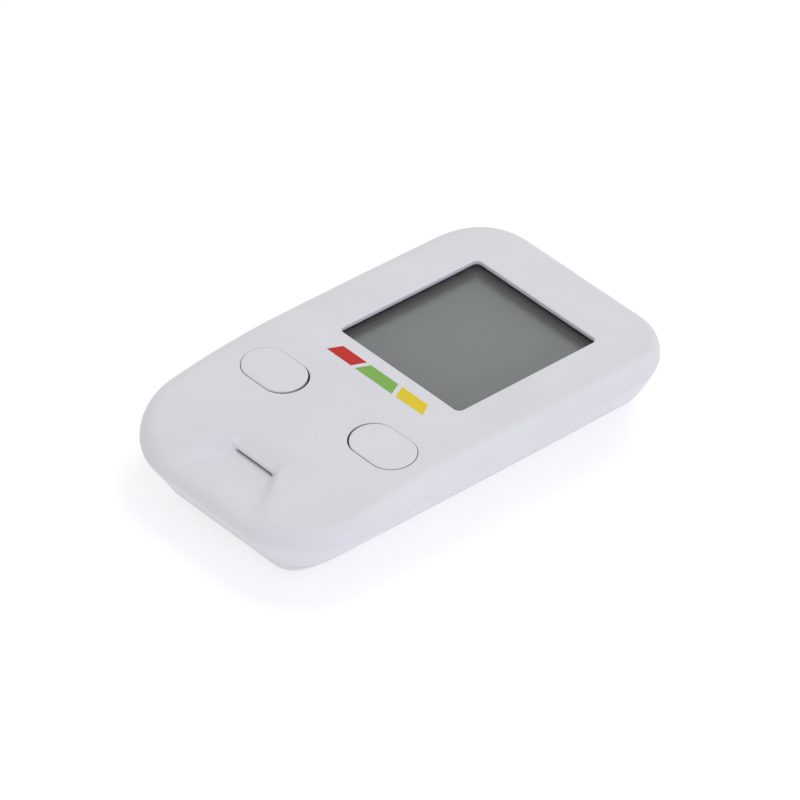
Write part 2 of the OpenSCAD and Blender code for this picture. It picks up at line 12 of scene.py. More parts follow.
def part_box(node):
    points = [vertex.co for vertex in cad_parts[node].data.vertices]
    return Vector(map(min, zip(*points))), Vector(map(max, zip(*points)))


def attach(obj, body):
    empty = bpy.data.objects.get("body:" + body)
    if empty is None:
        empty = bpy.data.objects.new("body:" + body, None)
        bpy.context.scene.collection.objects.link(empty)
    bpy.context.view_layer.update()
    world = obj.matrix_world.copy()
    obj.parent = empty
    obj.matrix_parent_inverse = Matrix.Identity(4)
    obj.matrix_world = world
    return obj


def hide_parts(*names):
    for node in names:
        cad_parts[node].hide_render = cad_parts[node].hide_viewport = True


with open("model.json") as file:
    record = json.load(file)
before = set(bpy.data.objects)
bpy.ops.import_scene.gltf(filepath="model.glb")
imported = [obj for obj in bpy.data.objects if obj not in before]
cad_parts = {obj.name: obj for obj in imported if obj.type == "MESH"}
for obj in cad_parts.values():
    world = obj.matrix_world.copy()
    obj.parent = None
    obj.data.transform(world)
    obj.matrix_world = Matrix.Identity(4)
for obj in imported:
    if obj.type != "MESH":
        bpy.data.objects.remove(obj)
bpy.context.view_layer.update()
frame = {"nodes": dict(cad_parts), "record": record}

MM = 0.001


def node_box(name):
    """Lowest and highest corner of a frame node in millimetres."""
    low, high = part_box(name)
    return np.array(low) / MM, np.array(high) / MM


# ------------------------------------------------------------------ sizes

TOP_LOW, TOP_HIGH = node_box("top_housing")
LENS_LOW, LENS_HIGH = node_box("display_window")
KEY_LOW, KEY_HIGH = node_box("right_button")
PLUNGER_TOP = node_box("right_plunger")[1][2]
PORT_LOW, PORT_HIGH = node_box("strip_port")
DOOR_LOW, DOOR_HIGH = node_box("battery_door")
CELL_LOW, CELL_HIGH = node_box("battery_back")
FRONT_CELL_FRONT = node_box("battery_front")[0][1]
SCREWS_LOW, SCREWS_HIGH = node_box("housing_screws")

# Body form, as the part's source has it
BODY_L = TOP_HIGH[1] - TOP_LOW[1]
BODY_W = TOP_HIGH[0] - TOP_LOW[0]
BODY_H = TOP_HIGH[2]
HALF_L = BODY_L / 2
HALF_W = BODY_W / 2
PARTING_Z = TOP_LOW[2]
NOSE_DROP = 5.0
NOSE_RISE = 2.1
SLOPE_Y = -4.4
RISE_Y = -18.0
NOSE_CORNER_R = 15.5
BACK_CORNER_R = 13.2
SIDE_BOW = 0.55
SHOULDER_H = 2.95
# How far the crown and the belly are drawn in from the rim, and their corner radii
CROWN = {"side": 3.7, "nose": 3.7, "back": 2.9, "nose_r": 9.2, "back_r": 5.9}
BELLY = {"side": 10.9, "nose": 5.4, "back": 0.5, "nose_r": 3.3, "back_r": 4.6}
BELLY_POWER = 1.1
TOP_WALL = 1.8
SIDE_WALL = 2.1
BOTTOM_WALL = 1.8
TONGUE_H = 1.0
SEAM_H = 0.06
SEAM_DEPTH = 0.12

# Clearances: of the tongue in its groove and the lens in its seat, and round the strip connector
FIT = 0.1
SEAT = 0.3

# How far a cutter runs past what it cuts, and how far joined solids run into each other
CUT = 1.0
JOIN = 0.2

# Screen opening; its corners and lip are those that the photograph shows
LENS_LAP = 1.7
WINDOW_W = LENS_HIGH[0] - LENS_LOW[0] - 2 * LENS_LAP
WINDOW_L = LENS_HIGH[1] - LENS_LOW[1] - 2 * LENS_LAP
WINDOW_Y = (LENS_HIGH[1] + LENS_LOW[1]) / 2
WINDOW_R = 1.1
WINDOW_LIP = 0.28
# Shadow of the window's lip painted on the screen's film: how far inside the opening it starts, and how far
# inside it is fully dark
FILM_SHADOW_W = 2.5
FILM_SHADOW_SHY = 0.1

# Keys, which lie a little off the middle of their holes and stand a little proud
FLANGE_LAP = 0.75
FLANGE_T = 0.7
FLANGE_EDGE = 0.12
KEY_L = KEY_HIGH[0] - KEY_LOW[0] - 2 * FLANGE_LAP
KEY_W = KEY_HIGH[1] - KEY_LOW[1] - 2 * FLANGE_LAP
KEY_X = (KEY_HIGH[0] + KEY_LOW[0]) / 2
KEY_Y = (KEY_HIGH[1] + KEY_LOW[1]) / 2
KEY_GAP = 0.06
KEY_END_GAP = 0.26
KEY_PROUD = 0.15
KEY_OFF_X = {-1: 0.2, 1: 0.13}
KEY_OFF_Y = 0.025
KEY_EDGE = 0.28
KEY_HOLE_EDGE = 0.15
KEY_MIDDLE = 0.05
STEM_R = 2.2
STEM_L = 0.2
FLANGE_BOTTOM = PLUNGER_TOP + STEM_L
FLANGE_TOP = FLANGE_BOTTOM + FLANGE_T

# Strip slot, the guide behind it and the scoop in front
SLOT_W = 9.5
SLOT_H = 0.52
SLOT_END_R = 0.28
SLOT_FRONT = 1.5
GUIDE_L = 4.0
GUIDE_WALL = 2.0
GUIDE_DROP = 1.75
PORT_ROOF = 0.85
SLOT_Y = PORT_LOW[1] - SEAT - GUIDE_L
SLOT_Z = PORT_HIGH[2] - PORT_ROOF - SLOT_H
SCOOP_DEPTH = 4.0
SCOOP_MARGIN = 0.55
SCOOP_BACK_HALF = SLOT_W / 2 + SCOOP_MARGIN
SCOOP_SPLAY = 0.66
SCOOP_TILT = 4.0
SCOOP_BLEND = 1.7
SCOOP_SIDE_SOFT = 1.4
SCOOP_SIDE_FADE = 0.5
SCOOP_BACK_R = 0.5
SCOOP_FALL = 0.45
SCOOP_FALL_L = 3.0
SCOOP_FLOOR_T = 1.0
SCOOP_FLOOR_L = 8.0
SCOOP_FLOOR_SINK = 0.4

# Screws, their bosses and pockets; the mouth of a front pocket is flared, from radius and height
# to radius and height about the underside
BOSS_R = 2.5
BOSS_FOOT = 6.0
PILOT_R = 1.0
PILOT_END = 0.5
SHANK_HOLE_R = 1.2
HEAD_R = 1.9
POCKET_R = 2.1
POCKET_MOUTH = ((2.8, -0.35), (2.0, 0.45))
FRONT_SCREW = (SCREWS_HIGH[0] - HEAD_R, SCREWS_LOW[1] + HEAD_R)
BACK_SCREW = (8.0, SCREWS_HIGH[1] - HEAD_R)

# Battery well
WELL_GAP = 0.6
WELL_WALL = 1.2
WELL_HEADROOM = 0.8
WELL_ROOF = 1.0

# Sliding door and its channel; the stock that it is cut from runs past the body
DOOR_T = DOOR_HIGH[2]
DOOR_GAP = 0.2
DOOR_CLEAR = 0.15
DOOR_STOCK = 5.0
RAIL_W = 1.2
RAIL_T = 0.6
RAIL_WALL = 1.2
RAIL_Z = DOOR_T - RAIL_T
DOOR_HALF = DOOR_HIGH[0] - RAIL_W
CHANNEL_ROOF = 0.9

# Heights where the screws' heads sit
FRONT_SEAT_Z = 2.4
SEAT_OVER_DOOR = 1.31
BACK_SEAT_Z = DOOR_T + DOOR_CLEAR + SEAT_OVER_DOOR

# Thumb grooves and arrow on the door
GRIP_HALF = 5.0
GRIP_R = 0.5
GRIP_Z = -0.15
GRIP_COUNT = 5
GRIP_PITCH = 1.6
GRIP_SPACE = 2.0
GRIP_BACK = CELL_HIGH[1] + WELL_GAP + GRIP_SPACE
ARROW_HALF = 3.0
ARROW_L = 2.4
ARROW_DEPTH = 0.35
ARROW_SPACE = 2.0

# Rounded edges of the small parts that stay as the frame has them
EDGES = {
    "lcd_frame": 0.15, "strip_port": 0.15, "processor": 0.12, "memory_chip": 0.1, "left_switch": 0.12,
    "right_switch": 0.12, "capacitors": 0.06, "resistors": 0.06, "temperature_sensor": 0.06,
    "port_contacts": 0.04, "negative_contacts": 0.05, "positive_contacts": 0.05, "main_board": 0.05,
    "lcd_panel": 0.05, "beeper": 0.15, "crystal": 0.2,
}


def top_z(y):
    """Height of the top face over a place along the body."""
    s = np.maximum(0, (SLOPE_Y - y) / (SLOPE_Y + HALF_L))
    return BODY_H - NOSE_DROP * s * s


def base_z(y):
    """Height of the underside."""
    s = np.maximum(0, (RISE_Y - y) / (RISE_Y + HALF_L))
    return NOSE_RISE * s * s


# ------------------------------------------------------------------ mesh tools

# Edges that bend more than this many degrees stay sharp
SHARP = 40


def mesh_from(name, verts, faces):
    """A closed mesh in metres from millimetre points, with its faces turned outwards."""
    mesh = bpy.data.meshes.new(name)
    mesh.from_pydata([tuple(v) for v in np.asarray(verts, float) * MM], [], faces)
    work = bmesh.new()
    work.from_mesh(mesh)
    bmesh.ops.recalc_face_normals(work, faces=work.faces)
    work.to_mesh(mesh)
    work.free()
    return mesh


def loft(name, loops):
    """A closed mesh through loops of as many points each, with flat ends."""
    n = len(loops[0])
    faces = [tuple(range(n)), tuple(range((len(loops) - 1) * n, len(loops) * n))]
    for j in range(len(loops) - 1):
        for i in range(n):
            k = (i + 1) % n
            faces.append((j * n + i, j * n + k, (j + 1) * n + k, (j + 1) * n + i))
    return mesh_from(name, np.vstack(loops), faces)


def level(ring, z):
    """A flat outline raised to a height, or to one height for each point."""
    return np.c_[ring, np.full(len(ring), z, float) if np.isscalar(z) else z]


def arc(centre, radius, degrees):
    """Points of an arc round a centre."""
    a = np.radians(degrees)
    return np.c_[centre[0] + radius * np.cos(a), centre[1] + radius * np.sin(a)]


def circle(x, y, radius, sides=64):
    """Points of a full circle."""
    return arc((x, y), radius, np.linspace(0, 360, sides, endpoint=False))


def box(low, high):
    """A box between two corners."""
    x0, y0, z0 = low
    x1, y1, z1 = high
    ring = np.array([(x0, y0), (x1, y0), (x1, y1), (x0, y1)])
    return loft("box", [level(ring, z0), level(ring, z1)])


def post(radius, x, y, z0, z1):
    """An upright round post."""
    ring = circle(x, y, radius)
    return loft("post", [level(ring, z0), level(ring, z1)])


def in_scene(name, data):
    """Puts a mesh, lamp or camera in the scene as a new object."""
    obj = bpy.data.objects.new(name, data)
    bpy.context.scene.collection.objects.link(obj)
    return obj


def piece(name, mesh, slot, body, node):
    """A smooth mesh that stands for a frame node, in a slot's material, riding on a body."""
    obj = in_scene(name, mesh)
    mesh.materials.clear()
    mesh.materials.append(MATERIALS[slot])
    mesh.shade_smooth()
    mesh.set_sharp_from_angle(angle=math.radians(SHARP))
    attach(obj, body)
    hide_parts(node)


def carve(name, base, steps):
    """Joins and cuts meshes one after another: steps is a list of (operation, mesh)."""
    obj = in_scene(name, base)
    tools = []
    for operation, mesh in steps:
        tool = in_scene("tool", mesh)
        tools.append(tool)
        cut = obj.modifiers.new("cut", "BOOLEAN")
        cut.operation = operation
        cut.solver = "MANIFOLD"
        cut.object = tool
    bpy.context.view_layer.update()
    graph = bpy.context.evaluated_depsgraph_get()
    result = bpy.data.meshes.new_from_object(obj.evaluated_get(graph))
    result.name = name
    for used in tools + [obj]:
        bpy.data.objects.remove(used)
    if not result.polygons:
        raise ValueError("nothing is left of " + name)
    return result


# ------------------------------------------------------------------ body form

# Points along the stretches of an outline, and rings of the flank and shoulder. The nose's corner
# has its angles closer together where it passes the strip slot
FINE = {
    "front": 36,
    "nose": np.unique(np.r_[np.linspace(-90, -20, 30), np.linspace(-20, -2, 34), 0]),
    "side": 44,
    "back": np.linspace(0, 90, 24),
    "flank": 18,
    "shoulder": 12,
}
PLAIN = {
    "front": 3,
    "nose": np.linspace(-90, 0, 13),
    "side": 10,
    "back": np.linspace(0, 90, 13),
    "flank": 8,
    "shoulder": 6,
}


def half_outline(w, front, back, r_nose, r_back, detail):
    """Right half of an outline, from the middle of the nose to the middle of the back."""
    nose = arc((w - r_nose, front + r_nose), r_nose, detail["nose"])
    tail = arc((w - r_back, back - r_back), r_back, detail["back"])
    steps = np.linspace(0, 1, detail["side"] + 1)[1:-1]
    side = np.c_[np.full(len(steps), w), nose[-1][1] + (tail[0][1] - nose[-1][1]) * steps]
    share = np.linspace(0, 1, detail["front"] + 1)
    middle_nose = np.c_[nose[0][0] * share[:-1], np.full(len(share) - 1, front)]
    middle_back = np.c_[tail[-1][0] * (1 - share[1:]), np.full(len(share) - 1, back)]
    half = np.vstack([middle_nose, nose, side, tail, middle_back])
    half[:, 0] *= 1 - SIDE_BOW * (half[:, 1] / HALF_L) ** 2 / HALF_W
    return half


def whole(half):
    """Both sides of a half outline."""
    return np.vstack([half, (half[1:-1] * [-1, 1])[::-1]])


def outlines(inset, detail):
    """The rim, belly and crown outlines of the body, drawn in by an inset."""
    w, front, back = HALF_W - inset, inset - HALF_L, HALF_L - inset
    return (
        whole(half_outline(w, front, back, NOSE_CORNER_R - inset, BACK_CORNER_R - inset, detail)),
        whole(half_outline(w - BELLY["side"], front + BELLY["nose"], back - BELLY["back"],
                           BELLY["nose_r"], BELLY["back_r"], detail)),
        whole(half_outline(w - CROWN["side"], front + CROWN["nose"], back - CROWN["back"],
                           CROWN["nose_r"], CROWN["back_r"], detail)),
    )


def smooth_step(t):
    """A soft rise from 0 to 1."""
    t = np.clip(t, 0, 1)
    return t * t * (3 - 2 * t)


def scooped(x, y, z):
    """Sinks the top face into the soft scoop in front of the strip slot."""
    ahead = SLOT_Y - y
    floor = SLOT_Z - math.tan(math.radians(SCOOP_TILT)) * ahead
    near = np.clip(SCOOP_BLEND - np.abs(z - floor), 0, None) / SCOOP_BLEND
    target = np.minimum(z, floor) - near ** 2 * SCOOP_BLEND / 4
    half = SCOOP_BACK_HALF + SCOOP_SPLAY * np.maximum(ahead, 0)
    soft = SCOOP_SIDE_SOFT + SCOOP_SIDE_FADE * np.abs(ahead)
    inside = smooth_step((half - np.abs(x)) / soft + 0.5)
    # behind the slot a steep lip, and above it a gentle fall
    behind = np.maximum(-ahead, 0)
    lip = np.clip(1 - behind / SCOOP_BACK_R, 0, 1)
    lip = np.where(behind > 0, 1 - np.sqrt(1 - lip ** 2), 1)
    fall = smooth_step(1 - behind / SCOOP_FALL_L)
    return z - (z - target) * inside * (SCOOP_FALL * fall + (1 - SCOOP_FALL) * lip)


def flank_rings(rim, belly, drop, lift, steps):
    """Rings of the flank, from the underside up to the rim."""
    rings = []
    for t in np.linspace(0, math.pi / 2, steps + 1):
        out, depth = math.sin(t) ** (2 / BELLY_POWER), max(math.cos(t), 0) ** (2 / BELLY_POWER)
        ring = rim + (belly - rim) * (1 - out)
        high = top_z(ring[:, 1]) - drop - SHOULDER_H
        rings.append(level(ring, high - (high - base_z(ring[:, 1]) - lift) * depth))
    return rings


def shoulder_rings(rim, crown, drop, steps):
    """Rings of the rounded shoulder, from the rim up to the top face."""
    rings = []
    for t in np.linspace(0, math.pi / 2, steps + 1)[1:]:
        ring = rim + (crown - rim) * (1 - math.cos(t))
        rings.append(level(ring, top_z(ring[:, 1]) - drop - SHOULDER_H * (1 - math.sin(t))))
    return rings


def cap_faces(ring, detail, base, made):
    """Rows of faces across the body that close a ring, and the points between its two sides. The
    ring's own points start at base, and made points are there already."""
    front = detail["front"]
    n = len(ring)
    last = n // 2
    rows = last - 2 * front
    points = []

    def at(row, column):
        if row == 0:
            half = abs(column)
        elif row == rows:
            half = last - abs(column)
        elif abs(column) == front:
            half = front + row
        else:
            return made + (row - 1) * (2 * front - 1) + column + front - 1
        return base + (half if column >= 0 or half in (0, last) else n - half)

    for x, y, z in ring[front + 1:front + rows]:
        points += [(x * column / front, y, z) for column in range(1 - front, front)]
    faces = [
        (at(r, c), at(r, c + 1), at(r + 1, c + 1), at(r + 1, c))
        for r in range(rows) for c in range(-front, front)
    ]
    return points, faces


def body_form(name, inset, drop, lift, detail, scoop=False):
    """Closed mesh of the body form, drawn in by an inset, with its top let down and base lifted."""
    rim, belly, crown = outlines(inset, detail)
    rings = flank_rings(rim, belly, drop, lift, detail["flank"])
    rings += shoulder_rings(rim, crown, drop, detail["shoulder"])
    n = len(rim)
    verts = list(np.vstack(rings))
    faces = [
        (j * n + i, j * n + (i + 1) % n, (j + 1) * n + (i + 1) % n, (j + 1) * n + i)
        for j in range(len(rings) - 1) for i in range(n)
    ]
    for ring, base in ((rings[0], 0), (rings[-1], (len(rings) - 1) * n)):
        points, cap = cap_faces(ring, detail, base, len(verts))
        verts += points
        faces += cap
    verts = np.array(verts)
    if scoop:
        upper = verts[:, 2] > SLOT_Z - SCOOP_DEPTH
        x, y, z = verts[upper].T
        verts[upper, 2] = scooped(x, y, z)
    return mesh_from(name, verts, faces)


# ------------------------------------------------------------------ cutters

def stadium(offset, arc_steps=40, shorter=0.0):
    """Outline of a key hole about its own middle, grown by an offset and made shorter."""
    reach = (KEY_L - KEY_W) / 2 - shorter
    radius = KEY_W / 2 + offset
    turn = np.linspace(-90, 90, arc_steps)
    return np.vstack([arc((reach, 0), radius, turn), arc((-reach, 0), radius, turn + 180)])


def rounded_rectangle(w, l, radius, offset=0.0, arc_steps=14):
    """Outline of a rounded rectangle about its own middle, grown by an offset."""
    turn = np.linspace(0, 90, arc_steps)
    corners = []
    for sx, sy, start in ((1, 1, 0), (-1, 1, 90), (-1, -1, 180), (1, -1, 270)):
        centre = (sx * (w / 2 - radius), sy * (l / 2 - radius))
        corners.append(arc(centre, radius + offset, turn + start))
    return np.vstack(corners)


def lipped_cutter(name, outline, place, bottom, lip):
    """Cuts a hole from a height up through the top face, with a rounded lip. The lip runs out of
    the top face at a shallow angle, a little past the edge."""
    shallow, over = 10, 0.3
    steps = [(0.0, -lip)]
    for a in np.radians(np.linspace(shallow, 90 - shallow, 8)):
        steps.append((lip * (1 - math.cos(a)), lip * (math.sin(a) - 1)))
    steps.append((steps[-1][0] + over, steps[-1][1] + over * math.tan(math.radians(shallow))))
    loops = [level(outline(0.0) + place, bottom)]
    for offset, rise in steps:
        ring = outline(offset) + place
        loops.append(level(ring, top_z(ring[:, 1]) + rise))
    loops.append(level(outline(steps[-1][0] + over) + place, BODY_H + CUT))
    return loft(name, loops)


def slot_cutter():
    """Cuts the strip slot, level and with rounded ends."""
    ends = rounded_rectangle(SLOT_W, SLOT_H, SLOT_END_R, arc_steps=6)
    loops = [
        np.c_[ends[:, 0], np.full(len(ends), y), ends[:, 1] + SLOT_Z + SLOT_H / 2]
        for y in (SLOT_Y - SLOT_FRONT, PORT_LOW[1] + CUT)
    ]
    return loft("slot", loops)


def seam_cutter():
    """A ring that cuts a fine groove round the outside at the parting line."""
    rim, belly, _ = outlines(0, FINE)
    stack = np.stack(flank_rings(rim, belly, 0, 0, steps=60))
    line = np.array([
        [np.interp(PARTING_Z, stack[:, i, 2], stack[:, i, k]) for k in (0, 1)]
        for i in range(stack.shape[1])
    ])
    normal = np.roll(line, -1, 0) - np.roll(line, 1, 0)
    normal = np.c_[normal[:, 1], -normal[:, 0]] / np.linalg.norm(normal, axis=1)[:, None]
    outer, inner = line + normal * CUT, line - normal * SEAM_DEPTH
    n = len(line)
    low, high = PARTING_Z - SEAM_H / 2, PARTING_Z + SEAM_H / 2
    verts = np.vstack([level(outer, low), level(inner, low), level(inner, high), level(outer, high)])
    faces = []
    for j in range(4):
        for i in range(n):
            k = (i + 1) % n
            a, b = j * n, (j + 1) % 4 * n
            faces.append((a + i, a + k, b + k, b + i))
    return mesh_from("seam", verts, faces)


def slab(z0, z1):
    """A slab wider than the body between two heights."""
    return box((-BODY_W, -BODY_L, z0), (BODY_W, BODY_L, z1))


# ------------------------------------------------------------------ material tools

def put(tree, kind, values=None, **settings):
    """Adds a shader node; values are numbers, colours or sockets to join, by input name or place."""
    node = tree.nodes.new(kind)
    for key, value in settings.items():
        setattr(node, key, value)
    for key, value in (values or {}).items():
        if isinstance(value, bpy.types.NodeSocket):
            tree.links.new(value, node.inputs[key])
        else:
            node.inputs[key].default_value = value
    return node


def sums(tree, operation, a, b=0.0, clamp=False):
    """One arithmetic step."""
    return put(tree, "ShaderNodeMath", {0: a, 1: b}, operation=operation, use_clamp=clamp).outputs[0]


def times(tree, a, b):
    """A product of two values."""
    return sums(tree, "MULTIPLY", a, b)


def reverse(tree, value):
    """What is left of 1."""
    return sums(tree, "SUBTRACT", 1.0, value)


def ramp(tree, value, low, high, start=0.0, end=1.0):
    """Turns a range of a value into another, without passing its ends."""
    return put(tree, "ShaderNodeMapRange", {0: value, 1: low, 2: high, 3: start, 4: end},
               interpolation_type="SMOOTHSTEP").outputs[0]


def tint(tree, share, first, second):
    """Mixes two colours."""
    return put(tree, "ShaderNodeMix", {0: share, 6: first, 7: second}, data_type="RGBA").outputs[2]


def effect(name, inputs, outputs):
    """An empty shader node group with named sockets: (group, input node, output node)."""
    group = bpy.data.node_groups.new(name, "ShaderNodeTree")
    for label, kind, value in inputs:
        socket = group.interface.new_socket(label, in_out="INPUT", socket_type=kind)
        socket.default_value = value
    for label, kind in outputs:
        group.interface.new_socket(label, in_out="OUTPUT", socket_type=kind)
    return group, group.nodes.new("NodeGroupInput"), group.nodes.new("NodeGroupOutput")


def use(tree, group, **values):
    """Places an effect in a material; an input's name has _ for each space."""
    node = tree.nodes.new("ShaderNodeGroup")
    node.node_tree = group
    for key, value in values.items():
        socket = node.inputs[key.replace("_", " ")]
        if isinstance(value, bpy.types.NodeSocket):
            tree.links.new(value, socket)
        else:
            socket.default_value = value
    return node


FLOAT, VECTOR = "NodeSocketFloat", "NodeSocketVector"


def moulded_grain():
    """Spark-eroded grain of a moulded surface, with its slow changes in tone."""
    inputs = [
        ("Place", VECTOR, (0, 0, 0)), ("Grain per Metre", FLOAT, 9000.0), ("Patch per Metre", FLOAT, 60.0),
    ]
    group, given, result = effect("moulded_grain", inputs, [("Height", FLOAT), ("Mottle", FLOAT)])
    place = given.outputs["Place"]
    fine = put(group, "ShaderNodeTexNoise", {
        "Vector": place, "Scale": given.outputs["Grain per Metre"], "Detail": 3.0, "Roughness": 0.6,
    })
    coarse = put(group, "ShaderNodeTexVoronoi", {
        "Vector": place, "Scale": times(group, given.outputs["Grain per Metre"], 0.45),
    }, feature="SMOOTH_F1")
    patch = put(group, "ShaderNodeTexNoise", {
        "Vector": place, "Scale": given.outputs["Patch per Metre"], "Detail": 4.0, "Roughness": 0.55,
    })
    height = sums(group, "ADD", fine.outputs["Fac"], times(group, coarse.outputs["Distance"], 0.6))
    group.links.new(height, result.inputs["Height"])
    group.links.new(ramp(group, patch.outputs["Fac"], 0.3, 0.7), result.inputs["Mottle"])
    return group


def handling():
    """Marks of handling: smears that change the gloss and a few hair scratches."""
    inputs = [
        ("Place", VECTOR, (0, 0, 0)), ("Smears per Metre", FLOAT, 90.0), ("Scratch Share", FLOAT, 0.2),
    ]
    group, given, result = effect("handling", inputs, [("Smear", FLOAT), ("Scratch", FLOAT)])
    place = given.outputs["Place"]
    smear = put(group, "ShaderNodeTexNoise", {
        "Vector": place, "Scale": given.outputs["Smears per Metre"], "Detail": 5.0, "Distortion": 1.4,
    })
    lines = []
    for turn, stretch in ((0.5, 4200.0), (-0.9, 3600.0)):
        turned = put(group, "ShaderNodeMapping", {
            "Vector": place, "Rotation": (0.0, 0.0, turn), "Scale": (0.012, 1.0, 1.0),
        })
        streak = put(group, "ShaderNodeTexNoise", {
            "Vector": turned.outputs[0], "Scale": stretch, "Detail": 1.0,
        })
        lines.append(ramp(group, streak.outputs["Fac"], 0.73, 0.78))
    where = put(group, "ShaderNodeTexNoise", {"Vector": place, "Scale": 240.0, "Detail": 2.0})
    seen = ramp(group, where.outputs["Fac"], 0.52, 0.66)
    scratch = times(group, sums(group, "MAXIMUM", lines[0], lines[1]), seen)
    scratch = times(group, scratch, given.outputs["Scratch Share"])
    group.links.new(ramp(group, smear.outputs["Fac"], 0.4, 0.72), result.inputs["Smear"])
    group.links.new(scratch, result.inputs["Scratch"])
    return group


def edge_wear_and_gap_shade():
    """Where edges are rubbed, where dust stays in corners, and painted shade that darkens gaps and creases
    the deeper they lie.
    """
    inputs = [("Place", VECTOR, (0, 0, 0)), ("Reach", FLOAT, 0.0012)]
    outputs = [("Rubbed", FLOAT), ("Dust", FLOAT), ("Painted Gap Shade", FLOAT)]
    group, given, result = effect("edge_wear_and_gap_shade", inputs, outputs)
    breakup = put(group, "ShaderNodeTexNoise", {
        "Vector": given.outputs["Place"], "Scale": 700.0, "Detail": 4.0,
    }).outputs["Fac"]
    surface = put(group, "ShaderNodeNewGeometry")
    rubbed = ramp(group, surface.outputs["Pointiness"], 0.51, 0.58)
    rubbed = times(group, rubbed, ramp(group, breakup, 0.35, 0.6))
    corner = put(group, "ShaderNodeAmbientOcclusion", {"Distance": given.outputs["Reach"]}, samples=6)
    dust = reverse(group, ramp(group, corner.outputs["AO"], 0.25, 0.95))
    dust = times(group, dust, ramp(group, breakup, 0.2, 0.7, 0.5, 1.0))
    # painted shade in gaps and creases, kept off the underside, which the floor keeps in the dark
    facing = put(group, "ShaderNodeSeparateXYZ", {0: surface.outputs["Normal"]})
    painted_gap_shade = reverse(group, ramp(group, corner.outputs["AO"], 0.05, 0.45))
    painted_gap_shade = times(group, painted_gap_shade, ramp(group, facing.outputs[2], -0.6, -0.2))
    group.links.new(rubbed, result.inputs["Rubbed"])
    group.links.new(dust, result.inputs["Dust"])
    group.links.new(painted_gap_shade, result.inputs["Painted Gap Shade"])
    return group


def brushing():
    """Fine lines of brushed, drawn or turned metal."""
    inputs = [("Place", VECTOR, (0, 0, 0)), ("Lines per Metre", FLOAT, 6000.0)]
    group, given, result = effect("brushing", inputs, [("Height", FLOAT), ("Tone", FLOAT)])
    place = given.outputs["Place"]
    lines = put(group, "ShaderNodeTexNoise", {
        "Vector": place, "Scale": given.outputs["Lines per Metre"], "Detail": 2.0,
    })
    stain = put(group, "ShaderNodeTexNoise", {"Vector": place, "Scale": 300.0, "Detail": 4.0})
    group.links.new(lines.outputs["Fac"], result.inputs["Height"])
    group.links.new(ramp(group, stain.outputs["Fac"], 0.3, 0.75), result.inputs["Tone"])
    return group


GRAIN = moulded_grain()
MARKS = handling()
WEAR_AND_GAP_SHADE = edge_wear_and_gap_shade()
BRUSHED = brushing()


def empty_tree(owner):
    """The cleared shader nodes of a material or a world."""
    owner.use_nodes = True
    owner.node_tree.nodes.clear()
    return owner.node_tree


def start_material(name, **constants):
    """A material with its shader; constants are plain inputs, with _ for each space."""
    material = bpy.data.materials.new(name)
    tree = empty_tree(material)
    shader = put(tree, "ShaderNodeBsdfPrincipled", {k.replace("_", " "): v for k, v in constants.items()})
    put(tree, "ShaderNodeOutputMaterial", {"Surface": shader.outputs[0]})
    place = put(tree, "ShaderNodeTexCoord").outputs["Object"]
    return material, tree, shader, place


def bump(tree, shader, height, distance, normal=None):
    """Feeds a height to the shader's normal."""
    values = {"Height": height, "Distance": distance, "Strength": 1.0}
    if normal is not None:
        values["Normal"] = normal
    tree.links.new(put(tree, "ShaderNodeBump", values).outputs[0], shader.inputs["Normal"])


def colour(r, g, b):
    """An opaque colour."""
    return (r, g, b, 1.0)


def shade(base, share):
    """A colour that is a share of another, one share for all or one for each of its three parts."""
    return colour(*(min(1.0, part) for part in np.multiply(base, share).tolist()))


def rounded_edges(tree, width):
    """The surface's normal with its sharp edges rounded."""
    return put(tree, "ShaderNodeBevel", {"Radius": width}, samples=4).outputs[0]


def moulded_plastic(name, base, roughness=0.48, grain=9000.0, depth=0.000012, dirt=(0.5, 0.47, 0.43),
                    dust=0.1):
    """Satin moulded plastic: grain, soft mottling, smears, polished edges, dust in corners and painted shade
    in gaps.
    """
    material, tree, shader, place = start_material(name, Specular_IOR_Level=0.45)
    texture = use(tree, GRAIN, Place=place, Grain_per_Metre=grain)
    marks = use(tree, MARKS, Place=place)
    wear_and_shade = use(tree, WEAR_AND_GAP_SHADE, Place=place)
    tone = tint(tree, texture.outputs["Mottle"], shade(base, 0.965), shade(base, 1))
    tone = tint(tree, times(tree, wear_and_shade.outputs["Rubbed"], 0.5), tone, shade(base, 1.02))
    tone = tint(tree, times(tree, wear_and_shade.outputs["Dust"], dust), tone, shade(base, dirt))
    # painted shade: gaps and creases darkened nearly to black
    tone = tint(tree, times(tree, wear_and_shade.outputs["Painted Gap Shade"], 0.9), tone, shade(base, 0.06))
    tree.links.new(tone, shader.inputs["Base Color"])
    gloss = ramp(tree, texture.outputs["Mottle"], 0.0, 1.0, roughness - 0.03, roughness + 0.03)
    gloss = sums(tree, "SUBTRACT", gloss, times(tree, marks.outputs["Smear"], 0.07))
    gloss = sums(tree, "SUBTRACT", gloss, times(tree, wear_and_shade.outputs["Rubbed"], 0.12), clamp=True)
    tree.links.new(gloss, shader.inputs["Roughness"])
    height = sums(tree, "SUBTRACT", texture.outputs["Height"], marks.outputs["Scratch"])
    bump(tree, shader, height, depth, rounded_edges(tree, 0.00012))
    return material


